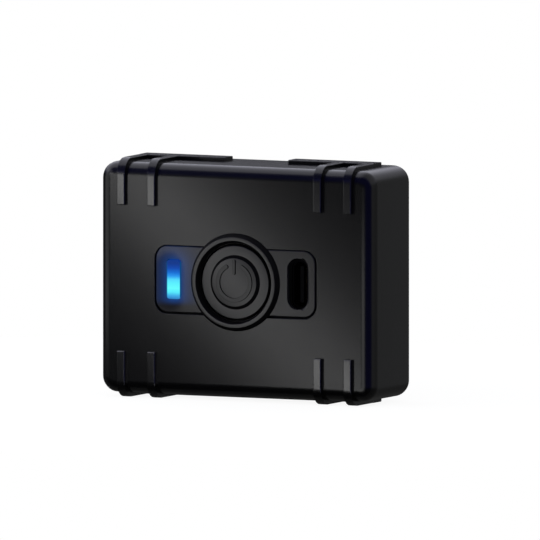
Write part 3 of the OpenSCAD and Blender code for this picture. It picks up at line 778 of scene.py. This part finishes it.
for name, row in screwSets.items():
    low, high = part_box(row["stands"])
    sizes = {key: value * mm for key, value in row.items() if key != "stands"}
    sizes.update({
        "thread": screw["thread"] * mm, "length": high.y - low.y - sizes["headHeight"],
        "apartX": high.x - low.x - 2 * sizes["headRadius"],
        "apartZ": high.z - low.z - 2 * sizes["headRadius"],
        "topY": high.y, "midZ": (high.z + low.z) / 2})
    screws = grown(name, screwTree(sizes), sizes, paint["blackSteel"])
    soften(screws, screw["edge"], 2, screw["angle"])
    dress(screws, paint["blackSteel"], "tracker", (row["stands"],))

contacts = {"count": 12, "pitch": 0.5, "width": 0.26, "length": 3.4, "thick": 0.04,
            "tongueHalf": 0.35, "tip": 1.9, "fromTip": 0.9}


def contactTree(sizes):  # two rows of flat strips on a tongue
    tree = Tree("portContacts", sizes)
    given = tree.given
    strip = tree.add("GeometryNodeMeshCube",
                     {"Size": tree.vector(given["thick"], given["length"], given["width"])})
    row = tree.add("GeometryNodeMeshLine",
                   {"Count": given["count"], "Offset": tree.vector(z=given["pitch"])},
                   mode="OFFSET")
    strips = tree.add("GeometryNodeInstanceOnPoints", {"Points": row, "Instance": strip})
    sides = [tree.moved(strips, tree.vector(x, given["y"], given["firstZ"]))
             for x in (tree.plus(given["x"], given["tongueHalf"]),
                       tree.less(given["x"], given["tongueHalf"]))]
    return tree.end(tree.join(*sides))


tongueLow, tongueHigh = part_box("usb_insert")
sizes = {key: contacts[key] * mm for key in ("pitch", "width", "length", "thick", "tongueHalf")}
sizes.update({
    "count": contacts["count"], "x": (tongueLow.x + tongueHigh.x) / 2,
    "y": at(0, contacts["tip"] + contacts["fromTip"] + contacts["length"] / 2, 0).y,
    "firstZ": at(0, 0, -contacts["pitch"] * (contacts["count"] - 1) / 2).z})
portContacts = grown("portContacts", contactTree(sizes), sizes, paint["contactBrass"])
dress(portContacts, paint["contactBrass"], "tracker")
print("tracker: screws and contacts made,", len(portContacts.data.polygons),
      "faces on the contacts")

# the solids that stay as they are

stays = {
    "cover_seal": "sealRubber", "button_oring": "sealRubber", "button_clip": "springSteel",
    "tact_switch": "blackMoulding", "switch_plunger": "plungerPlastic",
    "status_led": "ledPackage", "usb_shell": "portSteel", "usb_insert": "portMoulding",
    "usb_gasket": "portRubber", "main_board": "circuitBoard", "modem_board": "circuitBoard",
    "modem_shield": "shieldMetal", "gnss_module": "shieldMetal",
    "gnss_antenna": "antennaCeramic", "cellular_antenna": "antennaFilm",
    "antenna_contact": "contactBrass", "sim_socket": "shieldMetal", "nano_sim": "cardPlastic",
    "charger_chip": "blackMoulding", "power_inductor": "blackMoulding",
    "motion_sensor": "blackMoulding", "battery_cell": "cellPouch",
    "protection_board": "cellTape", "battery_foam": "foam", "battery_tape": "adhesive",
    "battery_lead_red": "redInsulation", "battery_lead_black": "blackInsulation",
    "battery_plug": "plugPlastic", "battery_socket": "plugPlastic",
}
for node, finishName in stays.items():
    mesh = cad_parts[node].data
    mesh.materials.clear()
    mesh.materials.append(paint[finishName])
print("tracker:", len(stays), "solids finished")

# the floor: plain to diffuse light, and white to the camera

floor = {"long": 0.16, "deep": 0.12, "sides": 96, "emission": 0.92, "albedo": 0.2,
         "grainScale": 40.0, "grainDetail": 3.0, "dark": (0.78,) * 3, "light": (0.82,) * 3}


def floorLook():
    s = Shader("studioFloor")
    ray = s.add("ShaderNodeLightPath").outputs
    plain = s.add("ShaderNodeBsdfDiffuse")
    grain = s.noise(floor["grainScale"], floor["grainDetail"])
    s.join(s.tint(grain, floor["dark"], floor["light"]), plain.inputs["Color"])
    glow = s.add("ShaderNodeEmission")
    s.put(glow, Color=(1, 1, 1, 1), Strength=floor["emission"])
    lit = s.add("ShaderNodeBsdfDiffuse")
    s.put(lit, Color=(floor["albedo"],) * 3 + (1,))
    seen = s.add("ShaderNodeAddShader")
    s.join(glow.outputs[0], seen.inputs[0])
    s.join(lit.outputs[0], seen.inputs[1])
    sharpRay = s.calc("MAXIMUM", ray["Is Glossy Ray"], ray["Is Transmission Ray"])
    sharpRay = s.calc("MAXIMUM", ray["Is Camera Ray"], sharpRay)
    whole = s.blend(sharpRay, plain.outputs[0], seen.outputs[0])
    s.join(whole, s.out.inputs["Surface"])
    return s.material


bm = bmesh.new()
bmesh.ops.create_circle(bm, cap_ends=True, segments=floor["sides"], radius=1.0)
bmesh.ops.scale(bm, vec=(floor["long"], floor["deep"], 1.0), verts=bm.verts)
studioFloor = newPiece("studioFloor", meshFrom(bm, "studioFloor"))
studioFloor.data.materials.append(floorLook())
studioFloor.visible_glossy = False  # the lower edges mirror a dark room, as in the photograph

# the air: white to the camera, and a gloss sees a light ceiling behind and a dim room in front

air = {"fill": 0.45, "front": (0.03, 0.03, 0.035), "navy": (0.015, 0.016, 0.2),
       "rear": (0.36, 0.15), "overhead": (1.4, 1.65), "below": 0.07, "white": (1, 1, 1),
       "fillTint": (0.93, 0.95, 1.0), "rearTint": (0.97, 0.98, 1.0),
       "ceilingTint": (0.9, 0.9, 1.03)}
bands = {  # the direction's axis, where the band starts and ends, and its first and last value
    "ceilingUp": ("Z", 0.2, 0.39), "ceilingBack": ("Y", -0.4, -0.34),
    "ceilingAcross": ("X", -0.35, 0.2, 1.0, 0.25), "overhead": ("Y", 0.0, 0.5, *air["overhead"]),
    "navyUp": ("Z", 0.08, 0.35), "navyRight": ("X", 0.1, 0.45),
    "behindBack": ("Y", -0.3, -0.14), "behindAcross": ("X", -0.75, -0.5),
    "fadeBack": ("Y", -0.35, 0.85), "fadeRight": ("X", 0.2, 0.35),
    "fadeLeft": ("X", 0.2, 0.35, 1.0, 0.0), "sideAcross": ("X", -0.2, 0.1, 0.1, 1.0),
    "wideBack": ("Y", -0.3, -0.22), "wideRight": ("X", 0.55, 0.7),
    "underBack": ("Y", -0.35, -0.2), "horizon": ("Z", -0.34, -0.12),
}


class Air(Nodes):  # the world's nodes
    def __init__(self, name):
        self.world = bpy.data.worlds.new(name)
        self.world.use_nodes = True
        super().__init__(self.world.node_tree)
        self.direction = dict(zip("XYZ", self.axes("Generated")))

    def band(self, name):
        axis, *row = bands[name]
        return self.ease(self.direction[axis], *row)

    def sky(self, colour, strength=1.0):
        node = self.add("ShaderNodeBackground")
        self.put(node, Color=(*colour, 1))
        self.give(strength, node.inputs["Strength"])
        return node.outputs[0]


def studioAir():
    s = Air("studioAir")
    rear, farRear = air["rear"]
    room = s.blend(s.calc("MAXIMUM", s.band("navyUp"), s.band("navyRight")),
                   s.sky(air["front"]), s.sky(air["navy"]))
    fade = s.product(s.band("fadeBack"), s.band("fadeRight"))
    fade = s.calc("MAXIMUM", fade, s.band("fadeLeft"))
    side = s.product(s.calc("ADD", s.product(fade, farRear - rear), rear), s.band("sideAcross"))
    behind = s.product(s.band("behindBack"), s.band("behindAcross"))
    wide = s.product(s.band("wideBack"), s.band("wideRight"))
    glossy = s.blend(s.calc("MAXIMUM", behind, wide), room, s.sky(air["rearTint"], side))
    under = s.sky(air["white"], s.product(s.band("underBack"), air["below"]))
    glossy = s.blend(s.band("horizon"), under, glossy)
    ceiling = s.product(s.band("ceilingUp"), s.band("ceilingBack"), s.band("ceilingAcross"))
    glossy = s.blend(ceiling, glossy, s.sky(air["ceilingTint"], s.band("overhead")))
    ray = s.add("ShaderNodeLightPath").outputs
    part = s.blend(ray["Is Glossy Ray"], s.sky(air["fillTint"], air["fill"]), glossy)
    seen = s.calc("MAXIMUM", ray["Is Camera Ray"], ray["Is Transmission Ray"])
    whole = s.blend(seen, part, s.sky(air["white"]))
    s.join(whole, s.add("ShaderNodeOutputWorld").inputs["Surface"])
    return s.world


scene.world = studioAir()

# the camera, drawn in the photograph's pixels, and the lights

shot = {"yaw": 25.3, "pitch": 5.0, "pixelsPerMetre": 5465.0, "frame": 540.0,
        "aside": 34.5, "above": 12.3, "distance": 1.1}
yaw, pitch = math.radians(shot["yaw"]), math.radians(shot["pitch"])
back = Vector((math.sin(yaw) * math.cos(pitch), -math.cos(yaw) * math.cos(pitch),
               math.sin(pitch)))
right = Vector((math.cos(yaw), math.sin(yaw), 0))
up = back.cross(right)
camera = bpy.data.objects.new("studioCamera", bpy.data.cameras.new("studioCamera"))
scene.collection.objects.link(camera)
camera.data.type = "ORTHO"
camera.data.ortho_scale = shot["frame"] / shot["pixelsPerMetre"]
camera.data.clip_start, camera.data.clip_end = 0.01, 10.0
target = at(0, 0, 0) + right * (shot["aside"] / shot["pixelsPerMetre"]) \
    + up * (shot["above"] / shot["pixelsPerMetre"])
camera.location = target + back * shot["distance"]
camera.rotation_mode = "QUATERNION"
camera.rotation_quaternion = (-back).to_track_quat("-Z", "Y")
scene.camera = camera

mirrored = (-back.x, back.y, -back.z)  # where the front face looks, as the camera sees it
boxDistance = 0.09
softboxes = {
    "keyStrip": {"aim": (0.8, 0, -0.9), "towards": mirrored, "along": (0.72, 0, -0.69),
                 "size": (0.012, 0.14), "radiance": 3.3},
    "lowRightBox": {"aim": (20, 0, -32), "towards": (0.03, -0.99, 0), "along": (1, 0, 0),
                    "size": (0.065, 0.042), "radiance": 1.4},
    "leftBox": {"aim": (-27, 2, 32), "towards": (-0.87, -0.5, 0), "along": (0, 0, 1),
                "size": (0.07, 0.1), "radiance": 0.75},
}
for name, row in softboxes.items():
    light = bpy.data.lights.new(name, "AREA")
    light.shape = "RECTANGLE"
    light.size, light.size_y = width, height = row["size"]
    light.energy = row["radiance"] * width * height * math.pi  # watts for that radiance
    lamp = bpy.data.objects.new(name, light)
    scene.collection.objects.link(lamp)
    face = Vector(row["towards"]).normalized()
    along = Vector(row["along"])
    along = (along - along.dot(face) * face).normalized()
    lamp.rotation_mode = "QUATERNION"
    axes = Matrix((along.cross(face), along, face)).transposed()
    lamp.rotation_quaternion = axes.to_quaternion()
    lamp.location = at(*row["aim"]) + boxDistance * face
    lamp.visible_camera = False

scene.view_settings.view_transform = "Standard"

print("tracker: scene ready")
